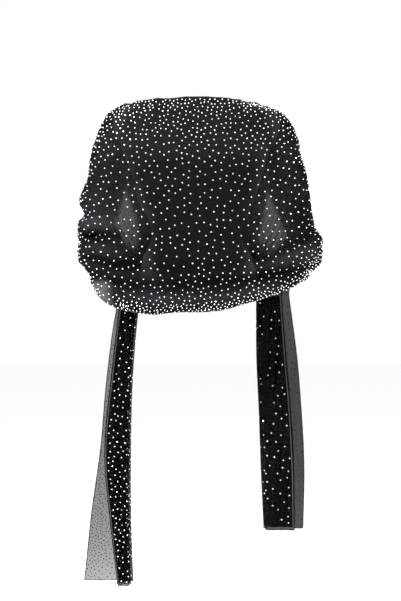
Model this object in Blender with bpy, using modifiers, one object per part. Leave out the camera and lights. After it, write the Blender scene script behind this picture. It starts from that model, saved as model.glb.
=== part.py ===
"""Evening stole of sheer chiffon, worn over the back and both arms.

The stole is one straight length of cloth. It lies across the back from the nape to the
waist, goes round both arms, gathers over the forearms and hangs in two folded falls.
Frame: +X to the wearer's right, +Y the way the wearer faces, +Z up. The origin is the
middle of the upper hem, at the nape, where the wearer's shoulders carry the cloth.
Every point of the cloth is worked out as a rib, from the upper hem to the lower hem.
"""

import math

import bpy
import numpy as np

# Walls and gaps, in metres.
CLOTH_WALL = 0.0015
HEM_SIZE = 0.0022
SEAM_GAP = 0.0005
HEM_GAP = 0.0005

# Rows of cells along the length and cells across the width.
BACK_ROWS = 22
ARM_ROWS = 11
GATHER_ROWS = 7
FALL_ROWS = 10
RUN_CELLS = 3
TURN_CELLS = 2
RIB_SAMPLES = 241
FOLD_SAMPLES = 25

# Girth runs round the wearer: 0 at the middle of the back, 1 at the side, 2 at the middle front.
BACK_GIRTH = 0.8
FRONT_GIRTH = 1.80
FRONT_SLANT = 0.48
PLAN_POWER = 0.75
SIDE_PLANE = 0.065

# Half widths of the worn stole, at each height.
OUTLINE = (
    # height, left, right
    (0.000, 0.128, 0.112),
    (-0.010, 0.156, 0.134),
    (-0.025, 0.186, 0.177),
    (-0.050, 0.208, 0.205),
    (-0.090, 0.223, 0.221),
    (-0.135, 0.2365, 0.233),
    (-0.180, 0.243, 0.2445),
    (-0.204, 0.252, 0.247),
    (-0.226, 0.260, 0.249),
    (-0.252, 0.248, 0.2525),
    (-0.278, 0.2595, 0.2585),
    (-0.296, 0.265, 0.271),
    (-0.308, 0.2595, 0.2755),
    (-0.318, 0.2605, 0.2725),
    (-0.345, 0.263, 0.277),
    (-0.378, 0.262, 0.2775),
    (-0.480, 0.260, 0.274),
)

# How far the cloth stands behind and before the side plane, at each height.
DEPTH = (
    # height, back, front
    (0.000, 0.065, 0.030),
    (-0.030, 0.088, 0.055),
    (-0.080, 0.106, 0.092),
    (-0.150, 0.118, 0.115),
    (-0.250, 0.118, 0.132),
    (-0.350, 0.110, 0.146),
    (-0.480, 0.100, 0.152),
)

# Heights of the two long hems, round each side of the wearer.
HEMS = (
    # girth, upper left, upper right, lower left, lower right
    (0.00, 0.000, 0.000, -0.468, -0.468),
    (0.15, -0.001, -0.001, -0.4735, -0.453),
    (0.30, -0.003, -0.003, -0.467, -0.436),
    (0.45, -0.006, -0.005, -0.455, -0.419),
    (0.60, -0.009, -0.008, -0.431, -0.402),
    (0.76, -0.011, -0.010, -0.393, -0.392),
    (1.00, -0.014, -0.014, -0.375, -0.374),
    (1.20, -0.030, -0.030, -0.372, -0.371),
    (1.40, -0.068, -0.068, -0.375, -0.374),
    (1.60, -0.135, -0.135, -0.380, -0.380),
    (1.80, -0.275, -0.275, -0.384, -0.384),
)

# The largest folds. A fold runs through three points, given as girth (left is minus) and height.
FOLDS = (
    # girth, height, girth, height, girth, height, width, rise
    (-0.98, -0.300, -0.60, -0.303, -0.22, -0.309, 0.010, -0.010),
    (-0.86, -0.282, -0.60, -0.280, -0.30, -0.284, 0.017, 0.010),
    (-0.90, -0.328, -0.60, -0.334, -0.30, -0.342, 0.016, 0.008),
    (-0.66, -0.340, -0.46, -0.366, -0.20, -0.376, 0.010, -0.008),
    (-0.80, -0.232, -0.62, -0.236, -0.40, -0.246, 0.014, 0.006),
    (0.64, -0.306, 0.40, -0.330, 0.18, -0.358, 0.010, -0.012),
    (0.92, -0.318, 0.52, -0.345, 0.12, -0.382, 0.020, 0.011),
    (0.50, -0.372, 0.15, -0.403, -0.10, -0.418, 0.010, -0.008),
    (0.40, -0.398, 0.05, -0.432, -0.40, -0.438, 0.016, 0.008),
    (-1.15, -0.120, -1.36, -0.210, -1.60, -0.300, 0.016, 0.008),
    (-1.18, -0.220, -1.36, -0.290, -1.56, -0.345, 0.014, 0.008),
    (-1.12, -0.330, -1.34, -0.352, -1.52, -0.380, 0.014, 0.009),
    (1.15, -0.140, 1.38, -0.225, 1.60, -0.310, 0.016, 0.008),
    (1.16, -0.235, 1.36, -0.300, 1.56, -0.350, 0.014, 0.009),
    (1.10, -0.322, 1.32, -0.350, 1.52, -0.384, 0.014, 0.008),
)
METRES_PER_GIRTH = 0.28
# The left and right columns of a table blend over this much girth, and slopes are read over the step.
SIDE_BLEND = 0.3
GIRTH_STEP = 0.01
# The pleats that the cloth is gathered into, from this girth to the forearms.
PLEAT_START = 1.15
PLEAT_RISE = 0.010
HEM_CURL = 0.016
CURL_FADE = 0.5
CURL_END = 1.3
ELBOW_TUCK = 0.018
TUCK_SPAN = 0.22
CURL_BAND = 0.045

# The falls. Every fall is folded six times across, nearest the back first.
FALL_TOP = -0.430
NEAR_LAYER = 0.105
LAYER_PITCH = 0.009
FALL_RUNS = 6
GATHER_PULL = 1.0
LEFT_FALL = (
    # share of the drop, upper hem, outer folds, inner folds, lower hem
    (0.00, 0.165, 0.168, 0.134, 0.174),
    (0.10, 0.174, 0.177, 0.142, 0.186),
    (0.25, 0.185, 0.188, 0.150, 0.199),
    (0.58, 0.202, 0.205, 0.156, 0.2195),
    (0.75, 0.192, 0.195, 0.156, 0.235),
    (1.00, 0.174, 0.177, 0.151, 0.2526),
)
RIGHT_FALL = (
    # share of the drop, upper hem, outer folds, inner folds, lower hem
    (0.00, 0.184, 0.187, 0.140, 0.205),
    (0.25, 0.193, 0.197, 0.1405, 0.2225),
    (0.50, 0.204, 0.208, 0.146, 0.2335),
    (0.75, 0.211, 0.215, 0.151, 0.2400),
    (1.00, 0.213, 0.217, 0.157, 0.2376),
)
LEFT_END = -1.072
RIGHT_END = -0.955
# How far each later fold is set in from the one before it.
OUTER_STEP = 0.002
INNER_STEP = -0.004
# The layers open towards the bottom, sway a little and end unevenly.
LAYER_SPREAD = 0.003
SWAY = 0.004
SWAY_WAVES = 1.3
END_RISE = 0.004


def smooth(rows, column, at):
    """Read a table as one smooth curve: a value for each place in its first column."""
    table = np.array(rows, dtype=float)
    order = np.argsort(table[:, 0])
    places, values = table[order, 0], table[order, column]
    slopes = np.gradient(values, places)
    at = np.clip(at, places[0], places[-1])
    low = np.clip(np.searchsorted(places, at) - 1, 0, len(places) - 2)
    step = places[low + 1] - places[low]
    t = (at - places[low]) / step
    start = (1 + 2 * t) * (1 - t) ** 2 * values[low] + t * (1 - t) ** 2 * step * slopes[low]
    end = t * t * (3 - 2 * t) * values[low + 1] + t * t * (t - 1) * step * slopes[low + 1]
    return start + end


def by_side(rows, left_column, at, girth):
    """Read a table with a left and a right column, blended over the middle of the back."""
    right_share = np.clip(0.5 + girth / SIDE_BLEND, 0.0, 1.0)
    left = smooth(rows, left_column, at)
    right = smooth(rows, left_column + 1, at)
    return left + (right - left) * right_share


def wrap_base(girth, drop):
    """A point of the unfolded wrap. Drop is 0 at the upper hem and 1 at the lower hem."""
    around = np.abs(girth)
    upper = by_side(HEMS, 1, around, girth)
    lower = by_side(HEMS, 3, around, girth)
    height = upper + (lower - upper) * drop
    turned = around - np.maximum(around - 1.0, 0.0) * FRONT_SLANT * drop
    angle = turned * math.pi / 2
    reach = np.abs(np.sin(angle)) ** PLAN_POWER
    depth = np.sign(np.cos(angle)) * np.abs(np.cos(angle)) ** PLAN_POWER
    behind = smooth(DEPTH, 1, height)
    before = smooth(DEPTH, 2, height)
    x = np.sign(girth) * reach * by_side(OUTLINE, 1, height, girth)
    y = SIDE_PLANE - np.where(depth > 0, behind, before) * depth
    return np.stack([x, y, height], axis=-1)


def fold_rise(girth, height):
    """How far the folds lift the cloth off its plain form."""
    rise = np.zeros_like(girth)
    for g0, z0, g1, z1, g2, z2, width, lift in FOLDS:
        best = np.full_like(girth, np.inf)
        along = np.zeros_like(girth)
        for t in np.linspace(0.0, 1.0, FOLD_SAMPLES):
            g = (1 - t) * (1 - 2 * t) * g0 + 4 * t * (1 - t) * g1 + t * (2 * t - 1) * g2
            z = (1 - t) * (1 - 2 * t) * z0 + 4 * t * (1 - t) * z1 + t * (2 * t - 1) * z2
            away = ((girth - g) * METRES_PER_GIRTH) ** 2 + (height - z) ** 2
            closer = away < best
            best = np.where(closer, away, best)
            along = np.where(closer, t, along)
        taper = np.sin(math.pi * np.clip(along, 0.02, 0.98)) ** 0.6
        rise += lift * taper * np.exp(-best / (2 * width * width))
    return rise


def wrap_rib(girth, shares):
    """One rib of the wrap, folds and all, with a point at each share of its length."""
    drop = np.linspace(0.0, 1.0, RIB_SAMPLES)
    girths = np.full(RIB_SAMPLES, float(girth))
    points = wrap_base(girths, drop)
    ahead = wrap_base(girths + GIRTH_STEP, drop) - wrap_base(girths - GIRTH_STEP, drop)
    down = np.gradient(points, axis=0)
    normal = np.cross(down, ahead)
    normal /= np.linalg.norm(normal, axis=1)[:, None]
    near_hem = np.clip((drop - 1) * np.ptp(points[:, 2]) / CURL_BAND + 1, 0.0, 1.0)
    curl = -HEM_CURL * near_hem**2 * np.clip((CURL_END - abs(girth)) / CURL_FADE, 0.0, 1.0)
    curl -= ELBOW_TUCK * near_hem**2 * math.exp(-(((abs(girth) - 1.0) / TUCK_SPAN) ** 2))
    points = points + normal * (fold_rise(girths, points[:, 2]) + curl)[:, None]
    lengths = np.linalg.norm(np.diff(points, axis=0), axis=1)
    travelled = np.concatenate([[0.0], np.cumsum(lengths)])
    at = np.array(shares) * travelled[-1]
    rib = np.stack([np.interp(at, travelled, points[:, k]) for k in range(3)], axis=-1)
    facing = np.stack([np.interp(at, travelled, normal[:, k]) for k in range(3)], axis=-1)
    facing /= np.linalg.norm(facing, axis=1)[:, None]
    grown = np.clip((abs(girth) - PLEAT_START) / (FRONT_GIRTH - PLEAT_START), 0.0, 1.0)
    return rib + facing * (PLEAT_RISE * grown**2 * pleat_wave())[:, None]


def fall_rib(side, share):
    """One rib of a fall: six runs laid over each other, joined by round turns."""
    table = LEFT_FALL if side < 0 else RIGHT_FALL
    bottom = LEFT_END if side < 0 else RIGHT_END
    upper_hem, outer, inner, lower_hem = (float(smooth(table, k, share)) for k in (1, 2, 3, 4))
    radius = LAYER_PITCH / 2
    ends = [upper_hem]
    for turn in range(FALL_RUNS - 1):
        if turn % 2 == 0:
            ends.append(inner + INNER_STEP * (turn // 2) + radius)
        else:
            ends.append(outer + OUTER_STEP * (turn // 2) - radius)
    ends.append(lower_hem)
    pitch = LAYER_PITCH + LAYER_SPREAD * share
    points = [(ends[0], 0.0)]
    for run in range(FALL_RUNS):
        start, end = ends[run], ends[run + 1]
        level = pitch * run
        for cell in range(1, RUN_CELLS + 1):
            points.append((start + (end - start) * cell / RUN_CELLS, level))
        if run == FALL_RUNS - 1:
            break
        way = 1 if end > start else -1
        for cell in range(1, TURN_CELLS + 1):
            angle = math.pi * cell / TURN_CELLS
            x = end + way * radius * math.sin(angle)
            points.append((x, level + pitch / 2 * (1 - math.cos(angle))))
    flat = np.array(points)
    sway = SWAY * share * math.sin(2 * math.pi * SWAY_WAVES * share + side)
    uneven = END_RISE * np.sin(flat[:, 1] / pitch * 1.9 + side)
    rib = np.empty((len(flat), 3))
    rib[:, 0] = side * flat[:, 0]
    rib[:, 1] = NEAR_LAYER + flat[:, 1] + sway
    rib[:, 2] = FALL_TOP + (bottom + uneven - FALL_TOP) * share
    return rib


def rib_shares():
    """Where the points of a rib lie across the cloth, as shares of its width."""
    rib = fall_rib(1, 0.5)
    lengths = np.linalg.norm(np.diff(rib, axis=0), axis=1)
    travelled = np.concatenate([[0.0], np.cumsum(lengths)])
    return travelled / travelled[-1]


def pleat_wave():
    """Which way each point of a rib is pleated: 1 forward, -1 back, and the hems back."""
    pleat_cells = RUN_CELLS + TURN_CELLS
    folds = [0] + [pleat_cells * turn - TURN_CELLS / 2 for turn in range(1, FALL_RUNS)]
    folds.append(pleat_cells * FALL_RUNS - TURN_CELLS)
    phase = np.interp(np.arange(folds[-1] + 1), folds, np.arange(FALL_RUNS + 1))
    return -np.cos(math.pi * phase)


def gather_ribs(side, shares):
    """The ribs between the wrap and a fall, where the cloth rides over a forearm."""
    first = wrap_rib(side * FRONT_GIRTH, shares)
    before = wrap_rib(side * (FRONT_GIRTH - 0.03), shares)
    last = fall_rib(side, 0.0)
    span = np.linalg.norm(last - first, axis=1)[:, None]
    leaving = first - before
    leaving *= GATHER_PULL * span / np.linalg.norm(leaving, axis=1)[:, None]
    arriving = span * np.array([0.0, 0.0, -1.0])
    ribs = []
    for t in np.arange(1, GATHER_ROWS) / GATHER_ROWS:
        ribs.append(
            (1 + 2 * t) * (1 - t) ** 2 * first
            + t * (1 - t) ** 2 * leaving
            + t * t * (3 - 2 * t) * last
            + t * t * (t - 1) * arriving
        )
    return ribs


def all_ribs():
    """Every rib from the left end to the right end, and the first row of each stretch."""
    shares = rib_shares()
    left_fall = [fall_rib(-1, s) for s in np.linspace(1.0, 0.0, FALL_ROWS + 1)]
    right_fall = [fall_rib(1, s) for s in np.linspace(0.0, 1.0, FALL_ROWS + 1)]
    left_arm = [wrap_rib(-g, shares) for g in np.linspace(FRONT_GIRTH, BACK_GIRTH, ARM_ROWS + 1)]
    right_arm = [wrap_rib(g, shares) for g in np.linspace(BACK_GIRTH, FRONT_GIRTH, ARM_ROWS + 1)]
    back = [wrap_rib(g, shares) for g in np.linspace(-BACK_GIRTH, BACK_GIRTH, BACK_ROWS + 1)]
    ribs = left_fall + gather_ribs(-1, shares)[::-1] + left_arm + back[1:-1] + right_arm
    ribs += gather_ribs(1, shares) + right_fall
    wrap_rows = GATHER_ROWS + ARM_ROWS
    steps = (FALL_ROWS, wrap_rows, BACK_ROWS, wrap_rows, FALL_ROWS)
    seams = np.concatenate([[0], np.cumsum(steps)])
    return np.array(ribs), seams


def clear_scene():
    """Remove what the scene holds."""
    for thing in list(bpy.data.objects):
        bpy.data.objects.remove(thing, do_unlink=True)


def cloth_material(name, colour, roughness):
    """A plain finish."""
    material = bpy.data.materials.new(name)
    material.use_nodes = True
    shader = material.node_tree.nodes["Principled BSDF"]
    shader.inputs["Base Color"].default_value = (*colour, 1.0)
    shader.inputs["Roughness"].default_value = roughness
    shader.inputs["Metallic"].default_value = 0.0
    material.diffuse_color = (*colour, 1.0)
    return material


def add_object(name, points, faces, material, collection):
    """Put a mesh into the scene as a named object."""
    mesh = bpy.data.meshes.new(name)
    mesh.from_pydata([tuple(p) for p in points], [], faces)
    mesh.materials.append(material)
    mesh.shade_smooth()
    thing = bpy.data.objects.new(name, mesh)
    collection.objects.link(thing)
    return thing


def drawn_in(ribs, first, last):
    """The ribs of one stretch, its seam edges drawn in by half the seam gap."""
    stretch = ribs[first : last + 1].copy()
    for edge, inner, at_seam in ((0, 1, first > 0), (-1, -2, last < len(ribs) - 1)):
        if at_seam:
            way = stretch[inner] - stretch[edge]
            way /= np.linalg.norm(way, axis=1)[:, None]
            stretch[edge] += way * SEAM_GAP / 2
    return stretch


def add_panel(name, stretch, material, collection):
    """One stretch of cloth: an open sheet through its ribs, given its wall."""
    rows, columns = stretch.shape[:2]
    faces = []
    for row in range(rows - 1):
        for column in range(columns - 1):
            corner = row * columns + column
            faces.append((corner, corner + 1, corner + columns + 1, corner + columns))
    panel = add_object(name, stretch.reshape(-1, 3), faces, material, collection)
    wall = panel.modifiers.new("wall", "SOLIDIFY")
    wall.thickness = CLOTH_WALL
    wall.offset = 0.0
    wall.use_even_offset = False
    return panel


def add_hem(name, edge, inward, material, collection):
    """A rolled hem: a square roll along an edge of the cloth, made from the edge's points.

    Inward is the line of points next to the edge, on the cloth.
    """
    along = np.gradient(edge, axis=0)
    along /= np.linalg.norm(along, axis=1)[:, None]
    out = edge - inward
    out /= np.linalg.norm(out, axis=1)[:, None]
    out[1:-1] = (out[:-2] + 2 * out[1:-1] + out[2:]) / 4
    out -= along * np.sum(out * along, axis=1)[:, None]
    out /= np.linalg.norm(out, axis=1)[:, None]
    up = np.cross(along, out)
    half = HEM_SIZE / 2
    centre = edge + out * (HEM_GAP + half)
    corners = ((-half, -half), (half, -half), (half, half), (-half, half))
    rings = np.stack([centre + out * a + up * b for a, b in corners], axis=1)
    faces = [(3, 2, 1, 0)]
    count = len(edge)
    for ring in range(count - 1):
        for side in range(4):
            here, turn = ring * 4 + side, ring * 4 + (side + 1) % 4
            faces.append((here, turn, turn + 4, here + 4))
    last = (count - 1) * 4
    faces.append((last, last + 1, last + 2, last + 3))
    return add_object(name, rings.reshape(-1, 3), faces, material, collection)


def main():
    """Build the stole."""
    clear_scene()
    collection = bpy.data.collections.new("evening_stole")
    bpy.context.scene.collection.children.link(collection)
    chiffon = cloth_material("chiffon", (0.012, 0.012, 0.014), 0.75)
    rolled = cloth_material("rolled_hem", (0.006, 0.006, 0.007), 0.65)
    ribs, seams = all_ribs()
    names = ("left_fall", "left_arm_wrap", "back_panel", "right_arm_wrap", "right_fall")
    for name, first, last in zip(names, seams[:-1], seams[1:]):
        add_panel(name, drawn_in(ribs, first, last), chiffon, collection)
    add_hem("upper_hem", ribs[:, 0], ribs[:, 1], rolled, collection)
    add_hem("lower_hem", ribs[:, -1], ribs[:, -2], rolled, collection)
    add_hem("left_end_hem", ribs[0], ribs[1], rolled, collection)
    add_hem("right_end_hem", ribs[-1], ribs[-2], rolled, collection)


main()
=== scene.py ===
"""Evening stole of sheer black chiffon with rhinestones, worn over the back and both arms."""

import itertools
import math

import bpy
import numpy as np
from bpy.props import FloatProperty, FloatVectorProperty, IntProperty, PointerProperty
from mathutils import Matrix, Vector


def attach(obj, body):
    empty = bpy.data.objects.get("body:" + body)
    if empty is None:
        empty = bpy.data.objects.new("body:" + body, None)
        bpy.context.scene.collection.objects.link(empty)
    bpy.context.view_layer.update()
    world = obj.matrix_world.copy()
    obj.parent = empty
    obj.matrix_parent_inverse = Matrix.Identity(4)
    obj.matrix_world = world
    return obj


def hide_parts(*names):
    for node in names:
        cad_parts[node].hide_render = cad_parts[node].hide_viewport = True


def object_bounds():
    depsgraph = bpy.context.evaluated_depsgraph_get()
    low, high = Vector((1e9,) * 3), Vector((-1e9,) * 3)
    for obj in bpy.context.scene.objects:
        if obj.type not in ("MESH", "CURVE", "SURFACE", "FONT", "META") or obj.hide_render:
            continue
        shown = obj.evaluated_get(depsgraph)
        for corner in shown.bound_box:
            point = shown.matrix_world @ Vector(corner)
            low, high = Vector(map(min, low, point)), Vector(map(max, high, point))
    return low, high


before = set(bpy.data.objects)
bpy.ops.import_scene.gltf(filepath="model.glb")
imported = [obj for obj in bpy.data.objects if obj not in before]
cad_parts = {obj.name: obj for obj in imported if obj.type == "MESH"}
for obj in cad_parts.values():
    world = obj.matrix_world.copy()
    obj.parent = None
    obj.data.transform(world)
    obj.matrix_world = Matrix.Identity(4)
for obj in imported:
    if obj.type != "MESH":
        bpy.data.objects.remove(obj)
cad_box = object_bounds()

bl_info = {
    "name": "Evening Stole",
    "version": (1, 0, 0),
    "blender": (4, 5, 0),
    "location": "View3D > Sidebar > Stole",
    "description": "Makes a worn chiffon stole with rolled hems and rhinestones",
    "category": "Object",
}

# Cells of the fine cloth, along its length and across its width.
LEFT_FALL_ROWS = 120
RIGHT_FALL_ROWS = 104
GATHER_ROWS = 38
WRAP_ROWS = 262
RUN_CELLS = 18
TURN_CELLS = 6
RIB_SAMPLES = 321
HEM_SIDES = 8
# How uneven a rolled hem is: amount, turns a metre in radians, start.
HEM_SWELLS = ((0.10, 410, 0), (0.06, 173, 1))
SHARP_ANGLE = math.radians(50)
GLUE_GAP = 0.00005

# Girth runs round the wearer: 0 at the middle of the back, 1 at the side, 2 at the middle front.
FRONT_GIRTH = 1.80
FRONT_SLANT = 0.48
PLAN_POWER = 0.75
SIDE_PLANE = 0.065
METRES_PER_GIRTH = 0.28
GIRTH_STEP = 0.01
SIDE_BLEND = 0.3
FOLD_SAMPLES = 25
FOLD_TAPER = 0.6

# Half widths of the worn stole, at each height.
OUTLINE = (
    # height, left, right
    (0.000, 0.128, 0.112),
    (-0.010, 0.156, 0.134),
    (-0.025, 0.186, 0.177),
    (-0.050, 0.208, 0.205),
    (-0.090, 0.223, 0.221),
    (-0.135, 0.2365, 0.233),
    (-0.180, 0.243, 0.2445),
    (-0.204, 0.252, 0.247),
    (-0.226, 0.260, 0.249),
    (-0.252, 0.248, 0.2525),
    (-0.278, 0.2595, 0.2585),
    (-0.296, 0.265, 0.271),
    (-0.308, 0.2595, 0.2755),
    (-0.318, 0.2605, 0.2725),
    (-0.345, 0.263, 0.277),
    (-0.378, 0.262, 0.2775),
    (-0.480, 0.260, 0.274),
)

# How far the cloth stands behind and before the side plane, at each height.
DEPTH = (
    # height, back, front
    (0.000, 0.065, 0.030),
    (-0.030, 0.088, 0.055),
    (-0.080, 0.106, 0.092),
    (-0.150, 0.118, 0.115),
    (-0.250, 0.118, 0.132),
    (-0.350, 0.110, 0.146),
    (-0.480, 0.100, 0.152),
)

# Heights of the two long hems, round each side of the wearer.
HEMS = (
    # girth, upper left, upper right, lower left, lower right
    (0.00, 0.000, 0.000, -0.468, -0.468),
    (0.15, -0.001, -0.001, -0.4735, -0.453),
    (0.30, -0.003, -0.003, -0.467, -0.436),
    (0.45, -0.006, -0.005, -0.455, -0.419),
    (0.60, -0.009, -0.008, -0.431, -0.402),
    (0.76, -0.011, -0.010, -0.393, -0.392),
    (1.00, -0.014, -0.014, -0.375, -0.374),
    (1.20, -0.030, -0.030, -0.372, -0.371),
    (1.40, -0.068, -0.068, -0.375, -0.374),
    (1.60, -0.135, -0.135, -0.380, -0.380),
    (1.80, -0.275, -0.275, -0.384, -0.384),
)

# The largest folds. A fold runs through three points, given as girth (left is minus) and height.
FOLDS = (
    # girth, height, girth, height, girth, height, width, rise
    (-0.98, -0.300, -0.60, -0.303, -0.22, -0.309, 0.010, -0.010),
    (-0.86, -0.282, -0.60, -0.280, -0.30, -0.284, 0.017, 0.010),
    (-0.90, -0.328, -0.60, -0.334, -0.30, -0.342, 0.016, 0.008),
    (-0.66, -0.340, -0.46, -0.366, -0.20, -0.376, 0.010, -0.008),
    (-0.80, -0.232, -0.62, -0.236, -0.40, -0.246, 0.014, 0.006),
    (0.64, -0.306, 0.40, -0.330, 0.18, -0.358, 0.010, -0.012),
    (0.92, -0.318, 0.52, -0.345, 0.12, -0.382, 0.020, 0.011),
    (0.50, -0.372, 0.15, -0.403, -0.10, -0.418, 0.010, -0.008),
    (0.40, -0.398, 0.05, -0.432, -0.40, -0.438, 0.016, 0.008),
    (-1.15, -0.120, -1.36, -0.210, -1.60, -0.300, 0.016, 0.008),
    (-1.18, -0.220, -1.36, -0.290, -1.56, -0.345, 0.014, 0.008),
    (-1.12, -0.330, -1.34, -0.352, -1.52, -0.380, 0.014, 0.009),
    (1.15, -0.140, 1.38, -0.225, 1.60, -0.310, 0.016, 0.008),
    (1.16, -0.235, 1.36, -0.300, 1.56, -0.350, 0.014, 0.009),
    (1.10, -0.322, 1.32, -0.350, 1.52, -0.384, 0.014, 0.008),
)

# Finer creases, placed the same way.
CREASES = (
    # girth, height, girth, height, girth, height, width, rise
    (-1.02, -0.303, -0.66, -0.3045, -0.24, -0.307, 0.0045, -0.006),
    (-1.00, -0.252, -0.86, -0.260, -0.66, -0.268, 0.006, -0.005),
    (-1.05, -0.268, -0.86, -0.271, -0.58, -0.268, 0.005, 0.003),
    (-1.05, -0.316, -0.82, -0.322, -0.58, -0.336, 0.005, -0.004),
    (-1.02, -0.336, -0.80, -0.343, -0.52, -0.362, 0.006, -0.004),
    (-1.02, -0.352, -0.76, -0.362, -0.44, -0.388, 0.006, 0.004),
    (-0.86, -0.380, -0.46, -0.404, -0.04, -0.419, 0.007, -0.006),
    (-0.80, -0.395, -0.42, -0.424, 0.02, -0.438, 0.012, 0.006),
    (-0.64, -0.352, -0.40, -0.380, -0.10, -0.392, 0.009, 0.005),
    (-0.44, -0.318, -0.30, -0.330, -0.16, -0.338, 0.008, -0.003),
    (-0.95, -0.205, -0.82, -0.214, -0.66, -0.222, 0.008, -0.003),
    (0.72, -0.300, 0.44, -0.324, 0.16, -0.362, 0.0045, -0.006),
    (1.00, -0.286, 0.86, -0.290, 0.68, -0.300, 0.006, -0.004),
    (1.04, -0.316, 0.90, -0.316, 0.74, -0.324, 0.005, -0.004),
    (1.05, -0.334, 0.82, -0.346, 0.56, -0.372, 0.006, -0.004),
    (1.02, -0.352, 0.78, -0.368, 0.44, -0.394, 0.006, 0.004),
    (0.94, -0.370, 0.68, -0.384, 0.36, -0.408, 0.006, -0.004),
    (0.56, -0.360, 0.22, -0.392, -0.20, -0.408, 0.006, -0.005),
    (0.36, -0.352, 0.00, -0.372, -0.34, -0.366, 0.010, -0.004),
    (0.30, -0.412, -0.10, -0.430, -0.52, -0.420, 0.007, -0.004),
    (0.62, -0.392, 0.34, -0.412, 0.04, -0.440, 0.007, 0.004),
    (-0.80, -0.022, -0.44, -0.052, -0.06, -0.060, 0.016, -0.003),
    (0.80, -0.022, 0.44, -0.056, 0.10, -0.070, 0.016, -0.003),
    (-0.62, -0.060, -0.70, -0.130, -0.74, -0.220, 0.014, 0.003),
    (0.60, -0.060, 0.70, -0.140, 0.72, -0.240, 0.014, 0.003),
    (-0.46, -0.120, -0.40, -0.200, -0.46, -0.270, 0.018, -0.003),
    (0.40, -0.110, 0.36, -0.200, 0.44, -0.280, 0.018, -0.003),
    (-0.84, -0.060, -0.92, -0.110, -0.96, -0.180, 0.009, -0.003),
    (0.86, -0.060, 0.93, -0.120, 0.96, -0.190, 0.009, -0.003),
    (-1.06, -0.070, -1.24, -0.150, -1.52, -0.260, 0.007, -0.004),
    (-1.10, -0.165, -1.30, -0.240, -1.56, -0.322, 0.007, -0.004),
    (-1.10, -0.262, -1.30, -0.305, -1.52, -0.352, 0.007, -0.004),
    (-1.08, -0.300, -1.28, -0.330, -1.48, -0.368, 0.006, 0.004),
    (1.07, -0.080, 1.24, -0.165, 1.54, -0.270, 0.007, -0.004),
    (1.10, -0.180, 1.30, -0.255, 1.56, -0.328, 0.007, -0.004),
    (1.08, -0.270, 1.30, -0.312, 1.52, -0.356, 0.007, -0.004),
    (1.06, -0.305, 1.26, -0.336, 1.48, -0.371, 0.006, 0.004),
)
HEM_CURL = 0.016
CURL_FADE = 0.5
CURL_END = 1.3
ELBOW_TUCK = 0.018
TUCK_SPAN = 0.22
CURL_BAND = 0.045

# The pleats that the cloth is gathered into, from this girth to the forearms.
PLEAT_START = 1.15
PLEAT_RISE = 0.010
FINE_PLEATS = 17
FINE_RISE = 0.0058
FINE_HEM_FADE = 0.04
# How uneven the fine pleats are: amount and waves across the cloth, twice, then the same for their height.
FINE_SHIFTS = ((0.6, 2.3), (0.4, 3.7))
FINE_SWELL = (0.25, 1.6)
GATHER_LEAD = 0.03

# The falls. Every fall is folded six times across, nearest the back first.
FALL_TOP = -0.430
NEAR_LAYER = 0.105
LAYER_PITCH = 0.009
FALL_RUNS = 6
GATHER_PULL = 1.0
LEFT_FALL = (
    # share of the drop, upper hem, outer folds, inner folds, lower hem
    (0.00, 0.165, 0.168, 0.134, 0.174),
    (0.10, 0.174, 0.177, 0.142, 0.186),
    (0.25, 0.185, 0.188, 0.150, 0.199),
    (0.58, 0.202, 0.205, 0.156, 0.2195),
    (0.75, 0.192, 0.195, 0.156, 0.235),
    (1.00, 0.174, 0.177, 0.151, 0.2526),
)
RIGHT_FALL = (
    # share of the drop, upper hem, outer folds, inner folds, lower hem
    (0.00, 0.184, 0.187, 0.140, 0.205),
    (0.25, 0.193, 0.197, 0.1405, 0.2225),
    (0.50, 0.204, 0.208, 0.146, 0.2335),
    (0.75, 0.211, 0.215, 0.151, 0.2400),
    (1.00, 0.213, 0.217, 0.157, 0.2376),
)
LEFT_END = -1.072
RIGHT_END = -0.949
OUTER_STEP = 0.002
INNER_STEP = -0.004
LAYER_SPREAD = 0.003
SWAY = 0.004
SWAY_WAVES = 1.3
END_RISE = 0.004
# Soft ripples down a fall: waves across a metre, waves down the drop, start, height.
FALL_RIPPLES = (
    (21.0, 0.6, 0.4, 0.0026),
    (49.0, 1.1, 1.9, 0.0027),
    (9.0, 2.6, 3.1, 0.0014),
)
# Soft ripples of the wrap: waves a metre round the wearer, waves a metre down, start, height.
# They fade out over the last stretch of girth before the gathers.
WRAP_RIPPLES = (
    (5.0, 13.0, 0.3, 0.0009),
    (-9.0, 17.0, 1.7, 0.0007),
    (13.0, 7.0, 2.9, 0.0006),
    (-17.0, 29.0, 4.1, 0.0004),
    (26.0, 21.0, 5.3, 0.0003),
)

RIPPLE_FADE = 0.3

# Painted highlight and shade on the folds: a fold this high is painted about three times as bright as flat
# cloth, and a trough as deep about three times as dark, up to a limit of powers of e.
PAINTED_LIGHT_LIFT = 0.0055
MOST_PAINTED_LIGHT = 1.6

# The cut of the cloth, before it is worn.
CUT_WIDTH = 0.49

# How much light one layer of the cloth lets through, by where it is.
BACK_SHEER = 0.002
SHOULDER_SHEER = 0.010
ARM_SHEER = 0.020
FRONT_SHEER = 0.44
GATHER_SHEER = 0.07
ELBOW_SHEER = 0.17
WINDOW_SHEER = 0.17
LEFT_FALL_SHEER = 0.23
RIGHT_FALL_SHEER = 0.065
# The sheerest places of the back, beside the waist: corners as x and height, clockwise from the top.
WINDOWS = (
    ((-0.154, -0.200), (-0.125, -0.270), (-0.123, -0.345), (-0.150, -0.330), (-0.178, -0.275)),
    ((0.152, -0.200), (0.180, -0.262), (0.196, -0.306), (0.158, -0.352), (0.131, -0.354), (0.131, -0.300)),
)
WINDOW_SOFTNESS = 0.012
WINDOW_SPILL = 0.25
HALO_WIDTH = 0.045
HALO_SHEER = 0.035
PLEAT_SHADE = 0.75
SHEER_DROP = 0.09
MOST_SHEER = 0.5
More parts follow.
